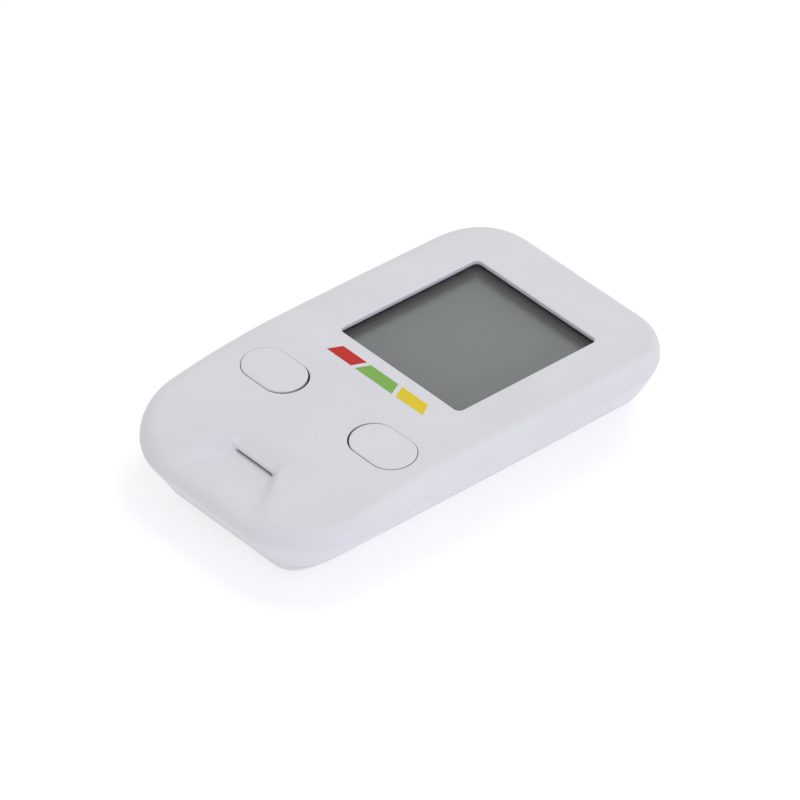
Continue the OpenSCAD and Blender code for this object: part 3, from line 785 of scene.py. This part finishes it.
def metal(name, base, roughness, stretch, worn=(0.8, 0.8, 0.8)):
    """Drawn, brushed or plated metal, with its lines drawn out along the smallest stretch."""
    material, tree, shader, place = start_material(name, Metallic=1.0)
    along = put(tree, "ShaderNodeMapping", {"Vector": place, "Scale": stretch}).outputs[0]
    brushed = use(tree, BRUSHED, Place=along)
    wear_and_shade = use(tree, WEAR_AND_GAP_SHADE, Place=place, Reach=0.0006)
    tone = tint(tree, brushed.outputs["Tone"], shade(base, worn), shade(base, 1))
    tone = tint(tree, times(tree, wear_and_shade.outputs["Dust"], 0.4), tone, shade(base, 0.45))
    tree.links.new(tone, shader.inputs["Base Color"])
    gloss = ramp(tree, brushed.outputs["Tone"], 0, 1, roughness + 0.1, roughness)
    tree.links.new(gloss, shader.inputs["Roughness"])
    bump(tree, shader, brushed.outputs["Height"], 0.000006, rounded_edges(tree, 0.00006))
    return material


def printed_ink(name, base):
    """Pad-printed ink on the shell: a little uneven, with the shell's grain showing through."""
    material, tree, shader, place = start_material(name, Specular_IOR_Level=0.12)
    texture = use(tree, GRAIN, Place=place, Grain_per_Metre=12000.0, Patch_per_Metre=900.0)
    marks = use(tree, MARKS, Place=place, Smears_per_Metre=500.0)
    thin = colour(*(part * 0.96 + 0.012 for part in base))
    tree.links.new(tint(tree, texture.outputs["Mottle"], shade(base, 1), thin), shader.inputs["Base Color"])
    tree.links.new(ramp(tree, marks.outputs["Smear"], 0, 1, 0.4, 0.3), shader.inputs["Roughness"])
    bump(tree, shader, texture.outputs["Height"], 0.000006)
    return material


def let_light_through(tree, shader, tone):
    """Lets the lamps' light and the glow of rough surfaces straight through a glass."""
    path = put(tree, "ShaderNodeLightPath")
    through = sums(tree, "MAXIMUM", path.outputs["Is Shadow Ray"], path.outputs["Is Diffuse Ray"])
    open_air = put(tree, "ShaderNodeBsdfTransparent", {"Color": tone})
    mixed = put(tree, "ShaderNodeMixShader", {0: through, 1: shader.outputs[0], 2: open_air.outputs[0]})
    out = next(n for n in tree.nodes if n.type == "OUTPUT_MATERIAL")
    tree.links.new(mixed.outputs[0], out.inputs["Surface"])


def clear_lens():
    """Clear acrylic that lets the lamps' light through to the screen."""
    material, tree, shader, place = start_material(
        "clear_lens", Transmission_Weight=1.0, IOR=1.49, Base_Color=colour(0.97, 0.98, 0.98),
        Specular_Tint=colour(0.35, 0.35, 0.35))
    marks = use(tree, MARKS, Place=place, Smears_per_Metre=120.0)
    tree.links.new(ramp(tree, marks.outputs["Smear"], 0, 1, 0.0, 0.02), shader.inputs["Roughness"])
    bump(tree, shader, marks.outputs["Smear"], 0.0000002)
    let_light_through(tree, shader, colour(0.98, 0.98, 0.98))
    return material


def liquid_crystal():
    """Blank liquid crystal cell: tinted glass that shows the film behind it."""
    material, tree, shader, place = start_material(
        "lcd_glass", Transmission_Weight=1.0, IOR=1.5, Base_Color=colour(0.9, 0.92, 0.9),
        Specular_Tint=colour(0.2, 0.2, 0.2))
    texture = use(tree, GRAIN, Place=place, Grain_per_Metre=14000.0, Patch_per_Metre=45.0)
    tree.links.new(ramp(tree, texture.outputs["Mottle"], 0, 1, 0.0, 0.02), shader.inputs["Roughness"])
    bump(tree, shader, texture.outputs["Mottle"], 0.0000002)
    let_light_through(tree, shader, colour(0.95, 0.96, 0.95))
    return material


def diffuser_film():
    """Grey film behind the liquid crystal, with a painted shadow of the window's lip round its border."""
    material, tree, shader, place = start_material("reflector_film", Specular_IOR_Level=0.2)
    texture = use(tree, GRAIN, Place=place, Grain_per_Metre=12000.0, Patch_per_Metre=45.0)
    marks = use(tree, MARKS, Place=place)
    tone = tint(tree, texture.outputs["Mottle"], colour(0.194, 0.21, 0.206), colour(0.2, 0.216, 0.212))
    axes = put(tree, "ShaderNodeSeparateXYZ", {0: place})
    across = sums(tree, "SUBTRACT", sums(tree, "ABSOLUTE", axes.outputs[0]), WINDOW_W / 2 * MM)
    along = sums(tree, "ABSOLUTE", sums(tree, "SUBTRACT", axes.outputs[1], WINDOW_Y * MM))
    along = sums(tree, "SUBTRACT", along, WINDOW_L / 2 * MM)
    beyond = sums(tree, "MAXIMUM", across, along)
    # painted shadow: darker towards the window's edge, near black under the lip
    lip_shadow = ramp(tree, beyond, -FILM_SHADOW_W * MM, -FILM_SHADOW_SHY * MM)
    tone = tint(tree, lip_shadow, tone, colour(0.03, 0.034, 0.038))
    tree.links.new(tone, shader.inputs["Base Color"])
    tree.links.new(ramp(tree, marks.outputs["Smear"], 0, 1, 0.6, 0.7), shader.inputs["Roughness"])
    bump(tree, shader, texture.outputs["Height"], 0.0000003)
    return material


def foam_tape():
    """Black closed-cell foam."""
    material, tree, shader, place = start_material("black_foam", Specular_IOR_Level=0.25)
    cells = put(tree, "ShaderNodeTexVoronoi", {"Vector": place, "Scale": 9000.0})
    tone = tint(tree, cells.outputs["Distance"], colour(0.012, 0.012, 0.014), colour(0.03, 0.03, 0.033))
    tree.links.new(tone, shader.inputs["Base Color"])
    tree.links.new(ramp(tree, cells.outputs["Distance"], 0, 1, 0.75, 0.95), shader.inputs["Roughness"])
    bump(tree, shader, cells.outputs["Distance"], 0.00003)
    return material


def solder_mask():
    """Green solder mask over fine copper tracks, with tinned spots."""
    material, tree, shader, place = start_material("circuit_board", Specular_IOR_Level=0.5)
    flat = put(tree, "ShaderNodeMapping", {"Vector": place, "Scale": (1.0, 1.0, 0.0)}).outputs[0]
    tracks = put(tree, "ShaderNodeTexVoronoi", {"Vector": flat, "Scale": 420.0}, distance="MANHATTAN")
    edge = sums(tree, "PINGPONG", times(tree, tracks.outputs["Distance"], 9.0), 1.0)
    track = ramp(tree, edge, 0.55, 0.62)
    spots = put(tree, "ShaderNodeTexVoronoi", {"Vector": flat, "Scale": 260.0})
    via = reverse(tree, ramp(tree, spots.outputs["Distance"], 0.08, 0.1))
    weave = put(tree, "ShaderNodeTexNoise", {"Vector": place, "Scale": 3000.0, "Detail": 3.0})
    tone = tint(tree, track, colour(0.012, 0.13, 0.055), colour(0.03, 0.22, 0.09))
    tone = tint(tree, via, tone, colour(0.62, 0.6, 0.55))
    tree.links.new(tone, shader.inputs["Base Color"])
    tree.links.new(ramp(tree, weave.outputs["Fac"], 0.3, 0.7, 0.25, 0.4), shader.inputs["Roughness"])
    tree.links.new(via, shader.inputs["Metallic"])
    height = sums(tree, "ADD", track, times(tree, weave.outputs["Fac"], 0.2))
    bump(tree, shader, height, 0.00002)
    return material


def layered_rubber():
    """Contact strip of thin pink and dark layers."""
    material, tree, shader, place = start_material("zebra_rubber", Specular_IOR_Level=0.3)
    bands = put(tree, "ShaderNodeTexWave", {"Vector": place, "Scale": 1300.0, "Distortion": 0.0},
                bands_direction="X")
    layer = ramp(tree, bands.outputs["Fac"], 0.4, 0.6)
    tone = tint(tree, layer, colour(0.06, 0.05, 0.055), colour(0.72, 0.4, 0.43))
    tree.links.new(tone, shader.inputs["Base Color"])
    tree.links.new(ramp(tree, bands.outputs["Fac"], 0, 1, 0.5, 0.65), shader.inputs["Roughness"])
    bump(tree, shader, bands.outputs["Fac"], 0.00001)
    return material


MATERIALS = {
    "white_shell": moulded_plastic("white_shell", (0.745, 0.737, 0.757)),
    "button_cap": moulded_plastic("button_cap", (0.75, 0.742, 0.762), roughness=0.44, grain=11000.0),
    "white_inner": moulded_plastic("white_inner", (0.8, 0.8, 0.77), roughness=0.42, depth=0.000006),
    "black_part": moulded_plastic("black_part", (0.035, 0.035, 0.038), roughness=0.5,
                                  dirt=(3.0, 2.9, 2.7), dust=0.15),
    "red_ink": printed_ink("red_ink", (0.56, 0.025, 0.018)),
    "green_ink": printed_ink("green_ink", (0.225, 0.45, 0.095)),
    "yellow_ink": printed_ink("yellow_ink", (0.8, 0.61, 0.028)),
    "clear_lens": clear_lens(),
    "black_foam": foam_tape(),
    "lcd_glass": liquid_crystal(),
    "circuit_board": solder_mask(),
    "zebra_rubber": layered_rubber(),
    "tan_ceramic": moulded_plastic("tan_ceramic", (0.52, 0.36, 0.2), roughness=0.35, depth=0.000004),
    "reflector_film": diffuser_film(),
    "gilt_contact": metal("gilt_contact", (0.83, 0.62, 0.24), 0.22, stretch=(1.0, 0.05, 0.3)),
    "bright_steel": metal("bright_steel", (0.75, 0.75, 0.76), 0.24, stretch=(1.0, 0.06, 1.0)),
    "brass_disc": metal("brass_disc", (0.78, 0.57, 0.25), 0.3, stretch=(0.05, 1.0, 1.0)),
    "cell_steel": metal("cell_steel", (0.72, 0.72, 0.73), 0.26, stretch=(1.0, 0.04, 0.3)),
    "spring_steel": metal("spring_steel", (0.68, 0.66, 0.6), 0.3, stretch=(0.3, 0.05, 1.0)),
    "screw_steel": metal("screw_steel", (0.42, 0.42, 0.44), 0.36, stretch=(1.0, 1.0, 1.0),
                         worn=(0.7, 0.68, 0.62)),
}


# ------------------------------------------------------------------ pieces

def boss_places():
    """Places of the front and back screw pairs."""
    return [(side * x, y) for x, y in (FRONT_SCREW, BACK_SCREW) for side in (-1, 1)]


def bar_seat(name):
    """The shallow seat of a printed bar: its own outline, open upwards."""
    mesh = frame["nodes"][name].data
    corners = np.array([v.co for v in mesh.vertices]) / MM
    low = corners[corners[:, 2] < corners[:, 2].mean()][:, :2]
    ring = np.unique(np.round(low, 4), axis=0)
    middle = ring.mean(0)
    ring = ring[np.argsort(np.arctan2(ring[:, 1] - middle[1], ring[:, 0] - middle[0]))]
    return loft("seat", [level(ring, corners[:, 2].min()), level(ring, BODY_H + CUT)])


def window_outline(offset):
    """Outline of the screen opening about its own middle, grown by an offset."""
    return rounded_rectangle(WINDOW_W, WINDOW_L, WINDOW_R, offset)


def scoop_floor():
    """Plate that backs the thin shell under the scoop."""
    ends = np.array((SLOT_Y + SCOOP_FALL_L + JOIN, SLOT_Y - SCOOP_FLOOR_L))
    top = SLOT_Z - SCOOP_FLOOR_SINK - math.tan(math.radians(SCOOP_TILT)) * (SLOT_Y - ends)
    upper, lower = np.c_[ends, top], np.c_[ends, top - SCOOP_FLOOR_T]
    section = np.vstack([upper[:1], lower, upper[1:]])
    side = SLOT_W / 2 + GUIDE_WALL
    return loft("scoop_floor", [np.c_[np.full(4, x), section] for x in (-side, side)])


def top_shell():
    """Upper housing with its screen opening, key holes, scoop and slot."""
    groove = carve("groove", body_form("groove", SIDE_WALL / 2 - FIT, TOP_WALL, BOTTOM_WALL / 2, PLAIN),
                   [("DIFFERENCE", slab(PARTING_Z + TONGUE_H + FIT, 2 * BODY_H))])
    guide_side = SLOT_W / 2 + GUIDE_WALL
    steps = [
        ("DIFFERENCE", body_form("cavity", SIDE_WALL, TOP_WALL, BOTTOM_WALL, PLAIN)),
        ("DIFFERENCE", slab(-BODY_H, PARTING_Z)),
        ("DIFFERENCE", groove),
        ("DIFFERENCE", seam_cutter()),
        ("UNION", box((-guide_side, SLOT_Y + SCOOP_FALL_L, SLOT_Z - GUIDE_DROP),
                      (guide_side, PORT_LOW[1] - SEAT, top_z(SLOT_Y) - TOP_WALL / 2))),
        ("UNION", scoop_floor()),
    ]
    for x, y in boss_places():
        steps.append(("UNION", post(BOSS_R, x, y, BOSS_FOOT, top_z(y) - TOP_WALL / 2)))
        steps.append(("DIFFERENCE", post(PILOT_R, x, y, BOSS_FOOT - CUT, SCREWS_HIGH[2] + PILOT_END)))
    for side in (-1, 1):
        hole = lipped_cutter("key_hole", stadium, (side * KEY_X, KEY_Y), FLANGE_BOTTOM, KEY_HOLE_EDGE)
        steps.append(("DIFFERENCE", hole))
    lens = rounded_rectangle(WINDOW_W + 2 * LENS_LAP, WINDOW_L + 2 * LENS_LAP, WINDOW_R, FIT) + (0, WINDOW_Y)
    below = LENS_LOW[2] - CUT
    steps += [
        ("DIFFERENCE", lipped_cutter("window", window_outline, (0, WINDOW_Y), below, WINDOW_LIP)),
        ("DIFFERENCE", loft("lens_seat", [level(lens, below), level(lens, LENS_HIGH[2])])),
        ("DIFFERENCE", slot_cutter()),
        ("DIFFERENCE", box((PORT_LOW[0] - SEAT, PORT_LOW[1] - SEAT, PORT_LOW[2] - CUT),
                           (PORT_HIGH[0] + SEAT, PORT_HIGH[1] + 2 * CUT, PORT_HIGH[2] + FIT))),
    ]
    steps += [("DIFFERENCE", bar_seat(name)) for name in ("red_bar", "green_bar", "yellow_bar")]
    shell = carve("top_shell", body_form("outer", 0, 0, 0, FINE, scoop=True), steps)
    piece("top_shell", shell, "white_shell", "meter", "top_housing")


def door_channel():
    """The space that the door slides in."""
    half, front = DOOR_HALF + DOOR_GAP, DOOR_LOW[1] - DOOR_GAP
    back, top = HALF_L + DOOR_STOCK, DOOR_T + DOOR_CLEAR
    return [
        box((-half, front, -CUT), (half, back, top)),
        box((-half - RAIL_W, front, RAIL_Z - DOOR_CLEAR), (half + RAIL_W, back, top)),
    ]


def bottom_shell():
    """Lower housing with the battery well, the door's channel and the screw pockets."""
    well_side = (CELL_HIGH[0] - CELL_LOW[0]) / 2 + WELL_GAP
    well_front, well_back = FRONT_CELL_FRONT - WELL_GAP, CELL_HIGH[1] + WELL_GAP
    well_top = CELL_HIGH[2] + WELL_HEADROOM
    rail_side = DOOR_HIGH[0] + RAIL_WALL
    tongue = carve("tongue", body_form("tongue", SIDE_WALL / 2, TOP_WALL, BOTTOM_WALL / 2, PLAIN), [
        ("DIFFERENCE", slab(PARTING_Z + TONGUE_H, 2 * BODY_H)),
        ("DIFFERENCE", slab(-BODY_H, PARTING_Z - TONGUE_H / 2)),
        ("DIFFERENCE", body_form("core", SIDE_WALL, TOP_WALL, BOTTOM_WALL, PLAIN)),
    ])
    steps = [
        ("DIFFERENCE", body_form("cavity", SIDE_WALL, TOP_WALL, BOTTOM_WALL, PLAIN)),
        ("DIFFERENCE", slab(PARTING_Z, 2 * BODY_H)),
        ("DIFFERENCE", seam_cutter()),
        ("UNION", tongue),
        ("UNION", box((-well_side - WELL_WALL, well_front - WELL_WALL, BOTTOM_WALL / 2),
                      (well_side + WELL_WALL, well_back + WELL_WALL, well_top + WELL_ROOF))),
        ("UNION", box((-rail_side, DOOR_LOW[1] - RAIL_WALL, BOTTOM_WALL / 2),
                      (rail_side, HALF_L - SIDE_WALL, DOOR_T + CHANNEL_ROOF))),
    ]
    steps += [("UNION", post(BOSS_R, x, y, BOTTOM_WALL / 2, BOSS_FOOT)) for x, y in boss_places()]
    steps.append(("DIFFERENCE", box((-well_side, well_front, -CUT), (well_side, well_back, well_top))))
    steps += [("DIFFERENCE", space) for space in door_channel()]
    for x, y in boss_places():
        in_front = y < 0
        steps.append(("DIFFERENCE", post(SHANK_HOLE_R, x, y, 0, BOSS_FOOT + CUT)))
        steps.append(("DIFFERENCE", post(POCKET_R, x, y, -CUT, FRONT_SEAT_Z if in_front else BACK_SEAT_Z)))
        if in_front:
            mouth = [level(circle(x, y, radius), base_z(y) + rise) for radius, rise in POCKET_MOUTH]
            steps.append(("DIFFERENCE", loft("mouth", mouth)))
    shell = carve("bottom_shell", body_form("outer", 0, 0, 0, FINE), steps)
    piece("bottom_shell", shell, "white_shell", "meter", "bottom_housing")


def capsule(half, radius, y, z, sides=24):
    """A level bar across the body, with round ends that stop just short of a point."""
    loops = []
    for a in np.radians(np.linspace(-86, 86, 15)):
        reach = half * np.sign(a) + radius * math.sin(a)
        ring = circle(y, z, radius * math.cos(a), sides)
        loops.append(np.c_[np.full(sides, reach), ring])
    return loft("capsule", loops)


def door():
    """Sliding door with its rails, thumb grooves and arrow."""
    front, back, rail = DOOR_LOW[1], HALF_L + DOOR_STOCK, DOOR_HALF + RAIL_W
    stock = carve("stock", box((-DOOR_HALF, front, 0), (DOOR_HALF, back, DOOR_T)),
                  [("UNION", box((-rail, front, RAIL_Z), (rail, back, DOOR_T)))])
    tip = GRIP_BACK - GRIP_COUNT * GRIP_PITCH - ARROW_SPACE
    arrow = np.array([(-ARROW_HALF, tip), (ARROW_HALF, tip), (0, tip + ARROW_L)])
    steps = [("INTERSECT", body_form("outer", 0, 0, 0, FINE))]
    for i in range(GRIP_COUNT):
        steps.append(("DIFFERENCE", capsule(GRIP_HALF, GRIP_R, GRIP_BACK - i * GRIP_PITCH, GRIP_Z)))
    steps.append(("DIFFERENCE", loft("arrow", [level(arrow, -CUT), level(arrow, ARROW_DEPTH)])))
    piece("door_cover", carve("door_cover", stock, steps), "white_shell", "door", "battery_door")


def key(name, side, body):
    """Key cap with a rounded edge, its retaining flange and its stem."""
    place = np.array((side * (KEY_X + KEY_OFF_X[side]), KEY_Y + KEY_OFF_Y))
    shorter = KEY_END_GAP - KEY_GAP
    wide = stadium(FLANGE_LAP - FLANGE_EDGE) + place
    narrow = stadium(FLANGE_LAP - 2 * FLANGE_EDGE) + place
    loops = [
        level(narrow, FLANGE_BOTTOM),
        level(wide, FLANGE_BOTTOM + FLANGE_EDGE),
        level(wide, FLANGE_TOP - FLANGE_EDGE),
        level(narrow, FLANGE_TOP),
        level(stadium(-KEY_GAP, shorter=shorter) + place, FLANGE_TOP),
    ]
    for a in np.radians(np.linspace(0, 90, 9)):
        ring = stadium(-KEY_GAP - KEY_EDGE * (1 - math.cos(a)), shorter=shorter) + place
        loops.append(level(ring, top_z(ring[:, 1]) + KEY_PROUD - KEY_EDGE * (1 - math.sin(a))))
    # level rings across the top face, from the rounded edge to close to the middle line
    rim, middle = KEY_GAP + KEY_EDGE, KEY_W / 2 - KEY_MIDDLE
    for inwards in np.linspace(rim, middle, 9)[1:]:
        ring = stadium(-inwards, shorter=shorter) + place
        loops.append(level(ring, top_z(ring[:, 1]) + KEY_PROUD))
    stem = post(STEM_R, place[0], place[1], PLUNGER_TOP, FLANGE_BOTTOM + JOIN)
    cap = carve(name + "_cap", loft(name, loops), [("UNION", stem)])
    piece(name + "_cap", cap, "button_cap", body, name)


def finish_frame_nodes():
    """Gives every frame node its material, and takes the sharpness off small parts."""
    slots = {s["node"]: s["material_slot"] for s in frame["record"]["subparts"]}
    for name, obj in frame["nodes"].items():
        obj.data.materials.clear()
        obj.data.materials.append(MATERIALS[slots[name]])
    for name, width in EDGES.items():
        soft = frame["nodes"][name].modifiers.new("edge", "BEVEL")
        soft.width = width * MM
        soft.segments = 2
        soft.limit_method = "ANGLE"


# ------------------------------------------------------------------ stage

# Pale floor, a hair below the object so that the two never share a plane, and its glow: the share
# that lights the object, and what is added where the floor itself is seen
FLOOR_REACH = 3.0
FLOOR_CLEAR = 0.02
FLOOR_GLOW = 0.41
FLOOR_SEEN_GLOW = 0.14

# Even light from all round, and two soft lamps: place in metres, power and tone
AMBIENT = 0.7
LAMP_SIZE = 0.8
LAMP_AIM = (0.0, 0.0, 0.005)
LAMPS = {
    "key": ((0.0, 0.7, 1.6), 5.9, (1.0, 0.995, 0.98)),
    "fill": ((1.3, -0.3, 0.45), 4.7, (0.68, 0.68, 1.0)),
}

# Camera in degrees and millimetres, as fitted to the photograph; the focal length is in pixels
# of a frame that is 800 pixels wide
AZIMUTH, ELEVATION, ROLL = 47.12, 36.99, 1.96
CAMERA_DISTANCE = 1336.2
CAMERA_AIM = (0.0, 0.0, 8.0)
CAMERA_RIGHT, CAMERA_UP = 0.34, 1.95
FOCAL_PIXELS, FRAME_PIXELS = 7756.0, 800
SENSOR_W = 36.0


def plainly_seen(tree):
    """1 where the camera sees a thing, by itself, in a gloss or through a glass."""
    path = put(tree, "ShaderNodeLightPath")
    seen = sums(tree, "MAXIMUM", path.outputs["Is Camera Ray"], path.outputs["Is Glossy Ray"])
    return sums(tree, "MAXIMUM", seen, path.outputs["Is Transmission Ray"])


def studio_floor():
    """Pale floor that keeps the object's shadow, and can be seen through from below."""
    mesh = bpy.data.meshes.new("floor")
    z = -FLOOR_CLEAR * MM
    corners = [(x * FLOOR_REACH, y * FLOOR_REACH, z) for x, y in ((-1, -1), (1, -1), (1, 1), (-1, 1))]
    mesh.from_pydata(corners, [], [(0, 1, 2, 3)])
    floor = in_scene("floor", mesh)
    material = bpy.data.materials.new("floor")
    tree = empty_tree(material)
    paper = put(tree, "ShaderNodeBsdfDiffuse", {"Color": colour(0.55, 0.55, 0.56)})
    strength = sums(tree, "ADD", FLOOR_GLOW, times(tree, plainly_seen(tree), FLOOR_SEEN_GLOW))
    glow = put(tree, "ShaderNodeEmission", {"Color": colour(1, 1, 1), "Strength": strength})
    both = put(tree, "ShaderNodeAddShader", {0: paper.outputs[0], 1: glow.outputs[0]})
    below = put(tree, "ShaderNodeNewGeometry").outputs["Backfacing"]
    clear = put(tree, "ShaderNodeBsdfTransparent")
    either = put(tree, "ShaderNodeMixShader", {0: below, 1: both.outputs[0], 2: clear.outputs[0]})
    put(tree, "ShaderNodeOutputMaterial", {"Surface": either.outputs[0]})
    mesh.materials.append(material)


def studio_world():
    """Even light from all round, and plain white wherever it is seen."""
    world = bpy.data.worlds.new("studio")
    bpy.context.scene.world = world
    tree = empty_tree(world)
    light = put(tree, "ShaderNodeBackground", {"Color": colour(0.97, 0.98, 1.0), "Strength": AMBIENT})
    white = put(tree, "ShaderNodeBackground", {"Color": colour(1, 1, 1), "Strength": 1.0})
    mixed = put(tree, "ShaderNodeMixShader", {
        0: plainly_seen(tree), 1: light.outputs[0], 2: white.outputs[0],
    })
    put(tree, "ShaderNodeOutputWorld", {"Surface": mixed.outputs[0]})


def lamp(name, place, power, tone):
    """A soft square lamp that points at the object."""
    data = bpy.data.lights.new(name, "AREA")
    data.shape = "SQUARE"
    data.size = LAMP_SIZE
    data.energy = power
    data.color = tone
    obj = in_scene(name, data)
    obj.location = place
    obj.rotation_euler = (Vector(LAMP_AIM) - Vector(place)).to_track_quat("-Z", "Y").to_euler()


def camera():
    """The photograph's long lens, from the right front corner and above."""
    azimuth, elevation, roll = np.radians((AZIMUTH, ELEVATION, ROLL))
    back = np.array((
        math.sin(azimuth) * math.cos(elevation),
        -math.cos(azimuth) * math.cos(elevation),
        math.sin(elevation),
    ))
    right = np.array((math.cos(azimuth), math.sin(azimuth), 0))
    up = np.cross(back, right)
    rolled_right = math.cos(roll) * right + math.sin(roll) * up
    rolled_up = math.cos(roll) * up - math.sin(roll) * right
    place = CAMERA_AIM + back * CAMERA_DISTANCE + rolled_right * CAMERA_RIGHT + rolled_up * CAMERA_UP
    data = bpy.data.cameras.new("camera")
    data.sensor_width = SENSOR_W
    data.lens = FOCAL_PIXELS / FRAME_PIXELS * SENSOR_W
    data.clip_start, data.clip_end = 0.05, 20.0
    obj = in_scene("camera", data)
    axes = Matrix(np.c_[rolled_right, rolled_up, back].tolist()).to_4x4()
    axes.translation = Vector(place * MM)
    obj.matrix_world = axes
    bpy.context.scene.camera = obj


def main():
    """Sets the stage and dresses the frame."""
    camera()
    studio_floor()
    studio_world()
    for name, (place, power, tone) in LAMPS.items():
        lamp(name, place, power, tone)
    bpy.context.scene.view_settings.view_transform = "Standard"
    finish_frame_nodes()
    top_shell()
    bottom_shell()
    door()
    key("left_button", -1, "left_key")
    key("right_button", 1, "right_key")


main()
